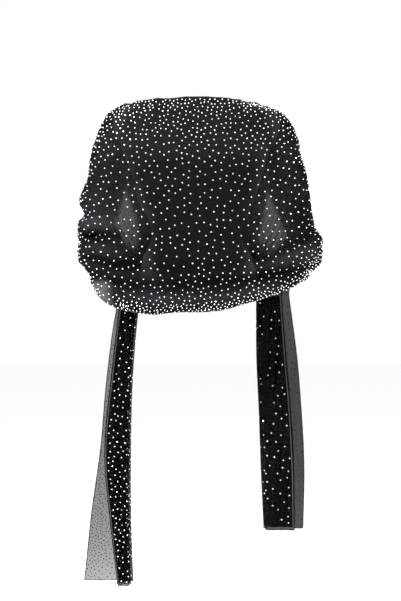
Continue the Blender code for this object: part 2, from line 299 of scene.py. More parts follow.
# Where the sheerness changes, and over what distance: first place, span.
SHOULDER_EDGE = (-0.155, 0.04)
ARM_GIRTH_EDGE = (0.42, 0.12)
ARM_LOW_EDGE = (-0.25, 0.03)
FRONT_EDGE = (1.15, 0.30)
GATHER_EDGE = (FRONT_GIRTH - 0.1, 0.25)
ELBOW_LOW_EDGE = (-0.392, 0.02)
ELBOW_GIRTH_EDGE = (0.40, 0.12)

# Stones stand closer near the hems: distance from a hem against the space between stones.
UPPER_SPACING = ((0.000, 0.0076), (0.040, 0.0089), (0.090, 0.0108), (0.160, 0.0136), (0.240, 0.0149))
LOWER_SPACING = ((0.000, 0.0064), (0.020, 0.0070), (0.036, 0.0102), (0.080, 0.0128), (0.130, 0.0152))
LEFT_FALL_UPPER = ((0.000, 0.0110), (0.050, 0.0125), (0.200, 0.0160))
LEFT_FALL_LOWER = ((0.000, 0.0066), (0.050, 0.0072), (0.100, 0.0100), (0.200, 0.0160))
RIGHT_FALL_UPPER = ((0.000, 0.0165), (0.050, 0.0190), (0.200, 0.0215))
RIGHT_FALL_LOWER = ((0.000, 0.0095), (0.050, 0.0115), (0.100, 0.0155), (0.200, 0.0215))
# Down a fall the stones are wide apart at first, then nearer: share of the drop and the factor.
LEFT_FALL_CROWDING = ((0.0, 1.60), (0.25, 1.15), (0.50, 0.98), (0.85, 0.88), (1.0, 1.10))
RIGHT_FALL_CROWDING = ((0.0, 1.35), (0.30, 1.00), (1.0, 0.95))
UNEVEN_SPACING = 0.20
LEAST_SPACING = 0.0046
STONE_CANDIDATES = 90000
STONE_SEED = 7
STONE_SIDES = 8
# No stone's middle is nearer than this to a hem.
HEM_MARGIN = 0.0042
# Stones are compared with their neighbours in boxes of this size, and within one layer of a fall.
BOX_SIZE = 0.018
LAYER_CELLS = 0.96 * (RUN_CELLS + TURN_CELLS)
# Where stones crowd at the right elbow and thin out under the left one: x, height, widths, strength.
CROWDED = (0.255, -0.362, 0.030, 0.032, -0.42)
CLEARED = (-0.200, -0.440, 0.020, 0.014, 0.9)


# The studio.
FLOOR_HALF = 30.0
VIEW_TARGET = (0.0077, SIDE_PLANE, -0.442)
STUDIO_LIGHTS = (
    # name, place, size, watts
    ("key_light", (-2.3, -1.7, 2.1), 0.9, 620.0),
    ("fill_light", (2.6, -1.6, 0.6), 1.4, 150.0),
    ("back_light", (0.4, 2.4, 1.2), 1.2, 60.0),
)


# ---------------------------------------------------------------- sizes and colours


class StoleCloth(bpy.types.PropertyGroup):
    """Sizes and colours of the chiffon and its hems."""

    wall: FloatProperty(
        name="Thickness", description="Thickness of the chiffon", default=0.0005, unit="LENGTH"
    )
    hem_radius: FloatProperty(
        name="Hem Radius", description="Radius of the rolled hem", default=0.0011, unit="LENGTH"
    )
    thread_pitch: FloatProperty(
        name="Thread Pitch", description="Distance between the threads", default=0.0009, unit="LENGTH"
    )
    colour: FloatVectorProperty(
        name="Colour",
        description="Colour of the thread",
        subtype="COLOR",
        default=(0.0017, 0.00165, 0.0020),
    )
    hem_colour: FloatVectorProperty(
        name="Hem Colour",
        description="Colour of the rolled hem",
        subtype="COLOR",
        default=(0.004, 0.004, 0.0045),
    )


class StoleStones(bpy.types.PropertyGroup):
    """Sizes and colours of the rhinestones."""

    diameter: FloatProperty(
        name="Diameter", description="Width of a stone", default=0.0029, unit="LENGTH"
    )
    height: FloatProperty(
        name="Height", description="How far a stone stands off the cloth", default=0.0012, unit="LENGTH"
    )
    table: FloatProperty(
        name="Table",
        description="Width of the flat top as a share of the stone",
        subtype="FACTOR",
        default=0.52,
    )
    seed: IntProperty(name="Seed", description="Changes where the stones lie", default=STONE_SEED)
    colour: FloatVectorProperty(
        name="Colour", description="Colour of the glass", subtype="COLOR", default=(0.95, 0.95, 0.97)
    )
    foil: FloatVectorProperty(
        name="Foil",
        description="Colour of the back of a stone",
        subtype="COLOR",
        default=(0.03, 0.03, 0.035),
    )


class StoleStudio(bpy.types.PropertyGroup):
    """The studio round the stole."""

    floor_drop: FloatProperty(
        name="Floor Drop", description="How far the floor is below the nape", default=1.42, unit="LENGTH"
    )
    camera_reach: FloatProperty(
        name="Camera Reach", description="Distance from the camera to the stole", default=5.0, unit="LENGTH"
    )
    view_height: FloatProperty(
        name="View Height", description="Height of what the camera takes in", default=1.322, unit="LENGTH"
    )
    floor_colour: FloatVectorProperty(
        name="Floor Colour",
        description="Colour of the floor",
        subtype="COLOR",
        default=(0.96, 0.96, 0.96),
    )


# ---------------------------------------------------------------- the form of the cloth


def smooth(rows, column, at):
    """Read a table as one smooth curve: a value for each place in its first column."""
    table = np.array(rows, dtype=float)
    order = np.argsort(table[:, 0])
    places, values = table[order, 0], table[order, column]
    slopes = np.gradient(values, places)
    at = np.clip(at, places[0], places[-1])
    low = np.clip(np.searchsorted(places, at) - 1, 0, len(places) - 2)
    step = places[low + 1] - places[low]
    t = (at - places[low]) / step
    start = (1 + 2 * t) * (1 - t) ** 2 * values[low] + t * (1 - t) ** 2 * step * slopes[low]
    end = t * t * (3 - 2 * t) * values[low + 1] + t * t * (t - 1) * step * slopes[low + 1]
    return start + end


def by_side(rows, left_column, at, girth):
    """Read a table with a left and a right column, blended over the middle of the back."""
    right_share = np.clip(0.5 + girth / SIDE_BLEND, 0.0, 1.0)
    left = smooth(rows, left_column, at)
    right = smooth(rows, left_column + 1, at)
    return left + (right - left) * right_share


def wrap_base(girth, drop):
    """A point of the unfolded wrap. Drop is 0 at the upper hem and 1 at the lower hem."""
    around = np.abs(girth)
    upper = by_side(HEMS, 1, around, girth)
    lower = by_side(HEMS, 3, around, girth)
    height = upper + (lower - upper) * drop
    turned = around - np.maximum(around - 1.0, 0.0) * FRONT_SLANT * drop
    angle = turned * math.pi / 2
    reach = np.abs(np.sin(angle)) ** PLAN_POWER
    depth = np.sign(np.cos(angle)) * np.abs(np.cos(angle)) ** PLAN_POWER
    behind = smooth(DEPTH, 1, height)
    before = smooth(DEPTH, 2, height)
    x = np.sign(girth) * reach * by_side(OUTLINE, 1, height, girth)
    y = SIDE_PLANE - np.where(depth > 0, behind, before) * depth
    return np.stack([x, y, height], axis=-1)


def fold_rise(rows, girth, height):
    """How far the folds of a table lift the cloth off its plain form."""
    rise = np.zeros_like(height)
    for g0, z0, g1, z1, g2, z2, width, lift in rows:
        best = np.full_like(height, np.inf)
        along = np.zeros_like(height)
        for t in np.linspace(0.0, 1.0, FOLD_SAMPLES):
            g = (1 - t) * (1 - 2 * t) * g0 + 4 * t * (1 - t) * g1 + t * (2 * t - 1) * g2
            z = (1 - t) * (1 - 2 * t) * z0 + 4 * t * (1 - t) * z1 + t * (2 * t - 1) * z2
            away = ((girth - g) * METRES_PER_GIRTH) ** 2 + (height - z) ** 2
            closer = away < best
            best = np.where(closer, away, best)
            along = np.where(closer, t, along)
        taper = np.sin(math.pi * np.clip(along, 0.02, 0.98)) ** FOLD_TAPER
        rise += lift * taper * np.exp(-best / (2 * width * width))
    return rise


def ripples(rows, across, down):
    """A sum of soft waves."""
    total = np.zeros(np.broadcast(across, down).shape)
    for across_waves, down_waves, start, height in rows:
        total += height * np.sin(2 * math.pi * (across_waves * across + down_waves * down) + start)
    return total


def pleat_wave():
    """Which way each point of a rib is pleated: 1 forward, -1 back, and the hems back."""
    pleat_cells = RUN_CELLS + TURN_CELLS
    folds = [0] + [pleat_cells * turn - TURN_CELLS / 2 for turn in range(1, FALL_RUNS)]
    folds.append(pleat_cells * FALL_RUNS - TURN_CELLS)
    phase = np.interp(np.arange(folds[-1] + 1), folds, np.arange(FALL_RUNS + 1))
    return -np.cos(math.pi * phase)


def fine_wave(share, girth):
    """The small uneven pleats between the large ones, fading out at both hems."""
    (first, first_waves), (second, second_waves) = FINE_SHIFTS
    uneven = first * np.sin(2 * math.pi * first_waves * share + girth)
    uneven = uneven + second * np.sin(2 * math.pi * second_waves * share)
    fade = np.clip(np.minimum(share, 1 - share) / FINE_HEM_FADE, 0.0, 1.0)
    swell, swell_waves = FINE_SWELL
    strength = 1 - swell + swell * np.sin(2 * math.pi * swell_waves * share + 2.0 * girth)
    return fade * strength * np.sin(2 * math.pi * FINE_PLEATS * share + uneven)


def wrap_rib(girth, shares):
    """One rib of the wrap, folds and all, with a point at each share of its length."""
    drop = np.linspace(0.0, 1.0, RIB_SAMPLES)
    girths = np.full(RIB_SAMPLES, float(girth))
    points = wrap_base(girths, drop)
    ahead = wrap_base(girths + GIRTH_STEP, drop) - wrap_base(girths - GIRTH_STEP, drop)
    down = np.gradient(points, axis=0)
    normal = np.cross(down, ahead)
    normal /= np.linalg.norm(normal, axis=1)[:, None]
    height = points[:, 2]
    near_hem = np.clip((drop - 1) * np.ptp(height) / CURL_BAND + 1, 0.0, 1.0)
    at_hem = abs(girth) - max(abs(girth) - 1.0, 0.0) * FRONT_SLANT
    curl = -HEM_CURL * near_hem**2 * np.clip((CURL_END - at_hem) / CURL_FADE, 0.0, 1.0)
    curl -= ELBOW_TUCK * near_hem**2 * math.exp(-(((at_hem - 1.0) / TUCK_SPAN) ** 2))
    lift = curl + fold_rise(FOLDS, girths, height) + fold_rise(CREASES, girths, height)
    fade = np.clip((FRONT_GIRTH - abs(girth)) / RIPPLE_FADE, 0.0, 1.0)
    lift += fade * ripples(WRAP_RIPPLES, girths * METRES_PER_GIRTH, height)
    points = points + normal * lift[:, None]
    lengths = np.linalg.norm(np.diff(points, axis=0), axis=1)
    travelled = np.concatenate([[0.0], np.cumsum(lengths)])
    at = np.array(shares) * travelled[-1]
    rib = np.stack([np.interp(at, travelled, points[:, k]) for k in range(3)], axis=-1)
    facing = np.stack([np.interp(at, travelled, normal[:, k]) for k in range(3)], axis=-1)
    facing /= np.linalg.norm(facing, axis=1)[:, None]
    grown = np.clip((abs(girth) - PLEAT_START) / (FRONT_GIRTH - PLEAT_START), 0.0, 1.0)
    fine = FINE_RISE * grown * fine_wave(at / travelled[-1], girth)
    return rib + facing * (PLEAT_RISE * grown**2 * pleat_wave() + fine)[:, None]


def fall_rib(side, share):
    """One rib of a fall: six runs laid over each other, joined by round turns."""
    table = LEFT_FALL if side < 0 else RIGHT_FALL
    bottom = LEFT_END if side < 0 else RIGHT_END
    upper_hem, outer, inner, lower_hem = (float(smooth(table, k, share)) for k in (1, 2, 3, 4))
    radius = LAYER_PITCH / 2
    ends = [upper_hem]
    for turn in range(FALL_RUNS - 1):
        if turn % 2 == 0:
            ends.append(inner + INNER_STEP * (turn // 2) + radius)
        else:
            ends.append(outer + OUTER_STEP * (turn // 2) - radius)
    ends.append(lower_hem)
    pitch = LAYER_PITCH + LAYER_SPREAD * share
    points = [(ends[0], 0.0)]
    for run in range(FALL_RUNS):
        start, end = ends[run], ends[run + 1]
        level = pitch * run
        for cell in range(1, RUN_CELLS + 1):
            points.append((start + (end - start) * cell / RUN_CELLS, level))
        if run == FALL_RUNS - 1:
            break
        way = 1 if end > start else -1
        for cell in range(1, TURN_CELLS + 1):
            angle = math.pi * cell / TURN_CELLS
            x = end + way * radius * math.sin(angle)
            points.append((x, level + pitch / 2 * (1 - math.cos(angle))))
    flat = np.array(points)
    sway = SWAY * share * math.sin(2 * math.pi * SWAY_WAVES * share + side)
    uneven = END_RISE * np.sin(flat[:, 1] / pitch * 1.9 + side)
    rib = np.empty((len(flat), 3))
    rib[:, 0] = side * flat[:, 0]
    rib[:, 1] = NEAR_LAYER + flat[:, 1] + sway
    rib[:, 2] = FALL_TOP + (bottom + uneven - FALL_TOP) * share
    grown = min(share * 4, 1.0)
    rib[:, 1] += grown * ripples(FALL_RIPPLES, flat[:, 0], share + side)
    return rib


def rib_shares():
    """Where the points of a rib lie across the cloth, as shares of its width."""
    rib = fall_rib(1, 0.5)
    lengths = np.linalg.norm(np.diff(rib, axis=0), axis=1)
    travelled = np.concatenate([[0.0], np.cumsum(lengths)])
    return travelled / travelled[-1]


def gather_ribs(side, shares):
    """The ribs between the wrap and a fall, where the cloth rides over a forearm."""
    first = wrap_rib(side * FRONT_GIRTH, shares)
    before = wrap_rib(side * (FRONT_GIRTH - GATHER_LEAD), shares)
    last = fall_rib(side, 0.0)
    span = np.linalg.norm(last - first, axis=1)[:, None]
    leaving = first - before
    leaving *= GATHER_PULL * span / np.linalg.norm(leaving, axis=1)[:, None]
    arriving = span * np.array([0.0, 0.0, -1.0])
    ribs = []
    for t in np.arange(1, GATHER_ROWS) / GATHER_ROWS:
        ribs.append(
            (1 + 2 * t) * (1 - t) ** 2 * first
            + t * (1 - t) ** 2 * leaving
            + t * t * (3 - 2 * t) * last
            + t * t * (t - 1) * arriving
        )
    return ribs


def eased(share):
    """A share from 0 to 1 with soft ends."""
    share = np.clip(share, 0.0, 1.0)
    return share * share * (3 - 2 * share)


def past(edge, at):
    """How far a place is past a soft edge, from 0 to 1."""
    start, span = edge
    return eased((at - start) / span)


class Cloth:
    """The whole length of cloth as a grid of points, with a row for each rib."""

    def __init__(self):
        shares = rib_shares()
        left = [fall_rib(-1, s) for s in np.linspace(1.0, 0.0, LEFT_FALL_ROWS + 1)]
        right = [fall_rib(1, s) for s in np.linspace(0.0, 1.0, RIGHT_FALL_ROWS + 1)]
        wrap = [wrap_rib(g, shares) for g in np.linspace(-FRONT_GIRTH, FRONT_GIRTH, WRAP_ROWS + 1)]
        ribs = left + gather_ribs(-1, shares)[::-1] + wrap + gather_ribs(1, shares) + right
        self.points = np.array(ribs)
        self.shares = shares
        self.left_seam = LEFT_FALL_ROWS
        self.right_seam = LEFT_FALL_ROWS + 2 * GATHER_ROWS + WRAP_ROWS
        self.wrap_start = LEFT_FALL_ROWS + GATHER_ROWS
        down = np.gradient(self.points, axis=1)
        ahead = np.gradient(self.points, axis=0)
        facing = np.cross(down, ahead)
        self.facing = facing / np.linalg.norm(facing, axis=2)[:, :, None]
        steps = np.linalg.norm(np.diff(self.points, axis=0), axis=2).mean(axis=1)
        self.along = np.concatenate([[0.0], np.cumsum(steps)])
        across = np.linalg.norm(np.diff(self.points, axis=1), axis=2)
        self.across = np.concatenate([np.zeros((len(ribs), 1)), np.cumsum(across, axis=1)], axis=1)
        # Painted highlight and shade of the folds, kept for the chiffon's colour.
        self.fold_paint_levels = self.paint_fold_light()

    def paint_fold_light(self):
        """Painted highlight and shade at each point: the colour is painted brighter on the crests of the
        folds and darker in their troughs.
        """
        rows, columns = self.points.shape[:2]
        girths = np.broadcast_to(np.clip(self.girth(), -FRONT_GIRTH, FRONT_GIRTH)[:, None], (rows, columns))
        height = self.points[:, :, 2]
        lift = fold_rise(FOLDS, girths, height) + fold_rise(CREASES, girths, height)
        lift[: self.left_seam] = 0.0
        lift[self.right_seam :] = 0.0
        return np.exp(np.clip(lift / PAINTED_LIGHT_LIFT, -MOST_PAINTED_LIGHT, MOST_PAINTED_LIGHT))

    def girth(self):
        """The girth of each row, past the front girth on the gathers and falls."""
        rows = np.arange(len(self.points)) - self.wrap_start
        return -FRONT_GIRTH + rows * 2 * FRONT_GIRTH / WRAP_ROWS

    def sheer(self):
        """How much light one layer lets through at each point."""
        rows, columns = self.points.shape[:2]
        girth = np.broadcast_to(self.girth()[:, None], (rows, columns))
        x, height = self.points[:, :, 0], self.points[:, :, 2]
        value = np.full((rows, columns), BACK_SHEER)
        around = np.abs(girth)
        on_arm = past(ARM_GIRTH_EDGE, around) * past(ARM_LOW_EDGE, height)
        value += (SHOULDER_SHEER - BACK_SHEER) * past(SHOULDER_EDGE, height)
        value += (ARM_SHEER - BACK_SHEER) * on_arm
        value += (FRONT_SHEER - BACK_SHEER) * past(FRONT_EDGE, around)
        value += (GATHER_SHEER - FRONT_SHEER) * past(GATHER_EDGE, around)
        for corners in WINDOWS:
            inside = np.full((rows, columns), np.inf)
            for (x0, z0), (x1, z1) in zip(corners, corners[1:] + corners[:1]):
                along = math.hypot(x1 - x0, z1 - z0)
                cross = (x - x0) * (z1 - z0) - (height - z0) * (x1 - x0)
                inside = np.minimum(inside, cross / along)
            glow = (WINDOW_SHEER - BACK_SHEER) * eased(inside / WINDOW_SOFTNESS + WINDOW_SPILL)
            glow += HALO_SHEER * eased(inside / HALO_WIDTH + 1)
            value += glow * (around < 1)
        low, span = ELBOW_LOW_EDGE
        bag = eased((low - height) / span) * past(ELBOW_GIRTH_EDGE, around) * (girth < 0)
        value += (ELBOW_SHEER - BACK_SHEER) * bag * (around < 1)
        for row in range(self.left_seam, self.right_seam):
            place = self.girth()[row]
            grown = np.clip((abs(place) - PLEAT_START) / (FRONT_GIRTH - PLEAT_START), 0.0, 1.0)
            value[row] *= 1 - PLEAT_SHADE * grown * np.clip(fine_wave(self.shares, place), 0, 1)
        left, right = slice(0, self.left_seam), slice(self.right_seam, rows)
        for part, most in ((left, LEFT_FALL_SHEER), (right, RIGHT_FALL_SHEER)):
            opened = eased((FALL_TOP - height[part]) / SHEER_DROP)
            value[part] = GATHER_SHEER + (most - GATHER_SHEER) * opened
        return np.clip(value, 0.0, MOST_SHEER)


CLOTH = Cloth()


# ---------------------------------------------------------------- materials


def new_material(name):
    """An empty node material with its shader."""
    material = bpy.data.materials.new(name)
    material.use_nodes = True
    return material, material.node_tree, material.node_tree.nodes["Principled BSDF"]


def add_node(tree, kind, **values):
    """A node with the given settings and input values."""
    node = tree.nodes.new(kind)
    for key, value in values.items():
        if hasattr(node, key):
            setattr(node, key, value)
        else:
            node.inputs[key].default_value = value
    return node


def add_tones(tree, source, colour, dark, light, places=(0.0, 1.0)):
    """Shades of one colour, from dark to light, chosen by a number."""
    ramp = add_node(tree, "ShaderNodeValToRGB")
    for stop, place, strength in zip(ramp.color_ramp.elements, places, (dark, light)):
        stop.position = place
        stop.color = (*[part * strength for part in colour], 1.0)
    tree.links.new(source, ramp.inputs["Fac"])
    return ramp


def threads(tree, pitch):
    """Warp and weft as two crossed waves along the cloth's own length and width."""
    place = add_node(tree, "ShaderNodeUVMap", uv_map="cloth")
    weave = add_node(tree, "ShaderNodeMath", operation="ADD")
    for socket, direction in enumerate(("X", "Y")):
        wave = add_node(tree, "ShaderNodeTexWave", bands_direction=direction)
        wave.inputs["Scale"].default_value = 0.314 / pitch
        wave.inputs["Distortion"].default_value = 0.6
        wave.inputs["Detail Scale"].default_value = 0.4
        tree.links.new(place.outputs["UV"], wave.inputs["Vector"])
        tree.links.new(wave.outputs["Fac"], weave.inputs[socket])
    return place, weave


def chiffon_material(sizes):
    """Sheer black chiffon: fine crepe threads, light showing between them, with painted highlight and shade
    on the folds.
    """
    material, tree, shader = new_material("sheer_chiffon")
    place, weave = threads(tree, sizes.thread_pitch)
    crepe = add_node(tree, "ShaderNodeTexNoise", noise_dimensions="2D")
    crepe.inputs["Scale"].default_value = 420.0
    crepe.inputs["Detail"].default_value = 3.0
    tree.links.new(place.outputs["UV"], crepe.inputs["Vector"])

    tone = add_tones(tree, crepe.outputs["Fac"], sizes.colour, 0.8, 1.25, (0.3, 0.7))
    # Painted highlight and shade: a number per vertex scales the thread colour up on fold crests and down
    # in troughs.
    painted_fold_light = add_node(tree, "ShaderNodeAttribute", attribute_name="painted_fold_light")
    lift = add_node(tree, "ShaderNodeVectorMath", operation="SCALE")
    tree.links.new(tone.outputs["Color"], lift.inputs[0])
    tree.links.new(painted_fold_light.outputs["Fac"], lift.inputs["Scale"])
    tree.links.new(lift.outputs["Vector"], shader.inputs["Base Color"])

    sheer = add_node(tree, "ShaderNodeAttribute", attribute_name="sheer")
    root = add_node(tree, "ShaderNodeMath", operation="SQRT")
    tree.links.new(sheer.outputs["Fac"], root.inputs[0])
    grain = add_node(tree, "ShaderNodeMapRange")
    grain.inputs["To Min"].default_value = 0.96
    grain.inputs["To Max"].default_value = 1.04
    tree.links.new(crepe.outputs["Fac"], grain.inputs["Value"])
    through = add_node(tree, "ShaderNodeMath", operation="MULTIPLY")
    tree.links.new(root.outputs[0], through.inputs[0])
    tree.links.new(grain.outputs[0], through.inputs[1])
    solid = add_node(tree, "ShaderNodeMath", operation="SUBTRACT", use_clamp=True)
    solid.inputs[0].default_value = 1.0
    tree.links.new(through.outputs[0], solid.inputs[1])
    tree.links.new(solid.outputs[0], shader.inputs["Alpha"])

    bump = add_node(tree, "ShaderNodeBump")
    bump.inputs["Strength"].default_value = 0.15
    bump.inputs["Distance"].default_value = 0.0002
    tree.links.new(weave.outputs[0], bump.inputs["Height"])
    tree.links.new(bump.outputs["Normal"], shader.inputs["Normal"])
    shader.inputs["Roughness"].default_value = 0.62
    shader.inputs["Sheen Weight"].default_value = 0.002
    shader.inputs["Sheen Roughness"].default_value = 0.4
    shader.inputs["Sheen Tint"].default_value = (0.75, 0.74, 0.80, 1.0)
    shader.inputs["Specular IOR Level"].default_value = 0.012
    return material


def hem_material(sizes):
    """The rolled hem: dense cloth with slanting whip stitches."""
    material, tree, shader = new_material("rolled_hem")
    place = add_node(tree, "ShaderNodeUVMap", uv_map="cloth")
    stitches = add_node(tree, "ShaderNodeTexWave", bands_direction="DIAGONAL")
    stitches.inputs["Scale"].default_value = 160.0
    stitches.inputs["Distortion"].default_value = 0.5
    tree.links.new(place.outputs["UV"], stitches.inputs["Vector"])
    tone = add_tones(tree, stitches.outputs["Fac"], sizes.hem_colour, 0.6, 2.2)
    tree.links.new(tone.outputs["Color"], shader.inputs["Base Color"])
    bump = add_node(tree, "ShaderNodeBump")
    bump.inputs["Strength"].default_value = 0.5
    bump.inputs["Distance"].default_value = 0.0003
    tree.links.new(stitches.outputs["Fac"], bump.inputs["Height"])
    tree.links.new(bump.outputs["Normal"], shader.inputs["Normal"])
    shader.inputs["Roughness"].default_value = 0.6
    return material


def crystal_material(stones):
    """Clear cut glass over silver foil, with painted glints: each facet's colour brighter or duller at
    random, as if it caught more or less light.
    """
    material, tree, shader = new_material("foiled_crystal")
    # Painted glint: a number for each facet brightens or dulls the glass colour.
    own = add_node(tree, "ShaderNodeAttribute", attribute_name="painted_facet_glint")
    tone = add_tones(tree, own.outputs["Fac"], stones.colour, 0.30, 1.0, (0.0, 0.7))
    tree.links.new(tone.outputs["Color"], shader.inputs["Base Color"])
    shader.inputs["Metallic"].default_value = 0.45
    shader.inputs["Roughness"].default_value = 0.16
    shader.inputs["IOR"].default_value = 1.6
    shader.inputs["Coat Weight"].default_value = 0.6
    shader.inputs["Coat Roughness"].default_value = 0.04
    return material


def foil_material(stones):
    """The dull back of a stone, as it shows through the cloth."""
    material, tree, shader = new_material("stone_back")
    grain = add_node(tree, "ShaderNodeTexNoise")
    grain.inputs["Scale"].default_value = 900.0
    tone = add_tones(tree, grain.outputs["Fac"], stones.foil, 0.7, 1.3)
    tree.links.new(tone.outputs["Color"], shader.inputs["Base Color"])
    shader.inputs["Roughness"].default_value = 0.5
    return material


def shared_material(name, maker, settings):
    """A finish, made once."""
    return bpy.data.materials.get(name) or maker(settings)


# ---------------------------------------------------------------- meshes


def new_piece(name, points, faces, materials, node_names, smooth=True):
    """A piece of the stole, which may stand for some of the frame's nodes."""
    mesh = bpy.data.meshes.new(name)
    mesh.from_pydata(points.tolist(), [], faces)
    for material in materials:
        mesh.materials.append(material)
    if smooth:
        mesh.shade_smooth()
        mesh.set_sharp_from_angle(angle=SHARP_ANGLE)
    piece = bpy.data.objects.new(name, mesh)
    bpy.context.scene.collection.objects.link(piece)
    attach(piece, "root")
    if node_names:
        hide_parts(*node_names)
    return piece


def set_uv(mesh, places):
    """Give each vertex its place on the flat cloth."""
    layer = mesh.uv_layers.new(name="cloth")
    corners = np.empty(len(mesh.loops), dtype=np.int32)
    mesh.loops.foreach_get("vertex_index", corners)
    layer.data.foreach_set("uv", places[corners].astype(np.float32).ravel())


def set_number(mesh, name, values):
    """Give each vertex a number of its own."""
    layer = mesh.attributes.new(name, "FLOAT", "POINT")
    layer.data.foreach_set("value", values.astype(np.float32))


def add_shell(name, first, last, node_names):
    """A stretch of the cloth as a thin closed shell."""
    sizes = bpy.context.scene.stole_cloth
    points = CLOTH.points[first : last + 1]
    facing = CLOTH.facing[first : last + 1]
    rows, columns = points.shape[:2]
    count = rows * columns
    index = np.arange(count).reshape(rows, columns)
    face_side = points + facing * sizes.wall / 2
    back_side = points - facing * sizes.wall / 2
    a, b, c, d = index[:-1, :-1], index[:-1, 1:], index[1:, 1:], index[1:, :-1]
    front = np.stack([a, b, c, d], axis=-1).reshape(-1, 4)
    back = front[:, ::-1] + count
    edge = np.concatenate([index[0, ::-1], index[1:, 0], index[-1, 1:], index[-2:0:-1, -1]])
    after = np.roll(edge, -1)
    rim = np.stack([edge, after, after + count, edge + count], axis=-1)
    faces = np.concatenate([front, back, rim])
    vertices = np.concatenate([face_side.reshape(-1, 3), back_side.reshape(-1, 3)])
    material = shared_material("sheer_chiffon", chiffon_material, sizes)
    piece = new_piece(name, vertices, faces.tolist(), [material], node_names)
    flat = np.stack(
        [np.repeat(CLOTH.along[first : last + 1], columns), np.tile(CLOTH.shares * CUT_WIDTH, rows)],
        axis=-1,
    )
    set_uv(piece.data, np.concatenate([flat, flat]))
    sheer = CLOTH.sheer()[first : last + 1].reshape(-1)
    set_number(piece.data, "sheer", np.concatenate([sheer, sheer]))
    # Painted highlight and shade of the folds, stored for the chiffon's colour.
    painted_fold_light = CLOTH.fold_paint_levels[first : last + 1].reshape(-1)
    set_number(piece.data, "painted_fold_light", np.concatenate([painted_fold_light, painted_fold_light]))
    return piece


def add_tube(name, path, facing, node_names):
    """A rolled hem: a slightly uneven round roll along a path."""
    sizes = bpy.context.scene.stole_cloth
    along = np.gradient(path, axis=0)
    along /= np.linalg.norm(along, axis=1)[:, None]
    up = facing - along * np.sum(facing * along, axis=1)[:, None]
    up /= np.linalg.norm(up, axis=1)[:, None]
    out = np.cross(along, up)
    count = len(path)
    steps = np.linalg.norm(np.diff(path, axis=0), axis=1)
    travelled = np.concatenate([[0.0], np.cumsum(steps)])
    swell = 1 + sum(amount * np.sin(travelled * turns + start) for amount, turns, start in HEM_SWELLS)
    radius = sizes.hem_radius * swell
    turns = 2 * math.pi * np.arange(HEM_SIDES) / HEM_SIDES
    ring = np.cos(turns)[None, :, None] * up[:, None, :] + np.sin(turns)[None, :, None] * out[:, None, :]
    points = (path[:, None, :] + ring * radius[:, None, None]).reshape(-1, 3)
    here = np.arange(count * HEM_SIDES).reshape(count, HEM_SIDES)
    turned = np.roll(here, -1, axis=1)
    walls = np.stack([here[:-1], turned[:-1], turned[1:], here[1:]], axis=-1).reshape(-1, 4)
    faces = walls.tolist()
    faces.append(here[0, ::-1].tolist())
    faces.append(here[-1].tolist())
    material = shared_material("rolled_hem", hem_material, sizes)
    piece = new_piece(name, points, faces, [material], node_names)
    around = np.tile(turns * sizes.hem_radius, count)
    set_uv(piece.data, np.stack([np.repeat(travelled, HEM_SIDES), around], axis=-1))
    return piece


# ---------------------------------------------------------------- stones


def stone_spacing():
    """The space between stones at each point of the cloth."""
    from_upper = CLOTH.across
    from_lower = CLOTH.across[:, -1:] - CLOTH.across
    x, height = CLOTH.points[:, :, 0], CLOTH.points[:, :, 2]
    upper = np.interp(from_upper, *zip(*UPPER_SPACING))
    lower = np.interp(from_lower, *zip(*LOWER_SPACING))
    space = np.minimum(upper, lower)
    for x0, z0, wide, high, strength in (CROWDED, CLEARED):
        space *= 1 + strength * np.exp(-(((x - x0) / wide) ** 2) - ((height - z0) / high) ** 2)
    left, right = CLOTH.left_seam, CLOTH.right_seam
    falls = (
        (left, slice(0, left), LEFT_FALL_UPPER, LEFT_FALL_LOWER, LEFT_FALL_CROWDING),
        (right, slice(right, None), RIGHT_FALL_UPPER, RIGHT_FALL_LOWER, RIGHT_FALL_CROWDING),
    )
    for seam, part, upper_table, lower_table, crowding in falls:
        share = np.abs(np.arange(len(space))[part] - seam)
        share = share / max(share.max(), 1)
        upper = np.interp(from_upper[part], *zip(*upper_table))
        lower = np.interp(from_lower[part], *zip(*lower_table))
        space[part] = np.minimum(upper, lower) * np.interp(share, *zip(*crowding))[:, None]
    return np.maximum(space, LEAST_SPACING)


def scatter_stones(seed):
    """Places for the stones, no two nearer than the spacing there."""
    random = np.random.default_rng(seed)
    points = CLOTH.points
    rows, columns = points.shape[:2]
    side_a = points[1:, :-1] - points[:-1, :-1]
    side_b = points[:-1, 1:] - points[:-1, :-1]
    spacing = stone_spacing()
    weight = (np.linalg.norm(np.cross(side_a, side_b), axis=2) / spacing[:-1, :-1] ** 2).reshape(-1)
    cell = random.choice(len(weight), size=STONE_CANDIDATES, p=weight / weight.sum())
    r, c = np.divmod(cell, columns - 1)
    s, t = random.random(STONE_CANDIDATES), random.random(STONE_CANDIDATES)
    uneven = 1 + UNEVEN_SPACING * (2 * random.random(STONE_CANDIDATES) - 1)

    def blend(grid):
        s1, t1 = s[:, None], t[:, None]
        low = grid[r, c] * (1 - t1) + grid[r, c + 1] * t1
        high = grid[r + 1, c] * (1 - t1) + grid[r + 1, c + 1] * t1
        return low * (1 - s1) + high * s1

    places = blend(points)
    facing = blend(CLOTH.facing)
    facing /= np.linalg.norm(facing, axis=1)[:, None]
    boxes = {}
    kept = []
    keys = np.floor(places / BOX_SIZE).astype(int)
    for i in range(STONE_CANDIDATES):
        row, column = r[i], c[i]
        across = CLOTH.across[row, column]
        from_hem = min(across, CLOTH.across[row, -1] - across)
        if from_hem < HEM_MARGIN or row < 1 or row > rows - 3:
            continue
        space = spacing[row, column] * uneven[i]
        box = tuple(keys[i])
        if all(
            is_clear(places[i] - places[j], space) or on_other_layer(row, column, c[j])
            for j in near_stones(boxes, box)
        ):
            boxes.setdefault(box, []).append(i)
            kept.append(i)
    kept = np.array(kept)
    return places[kept], facing[kept], r[kept]


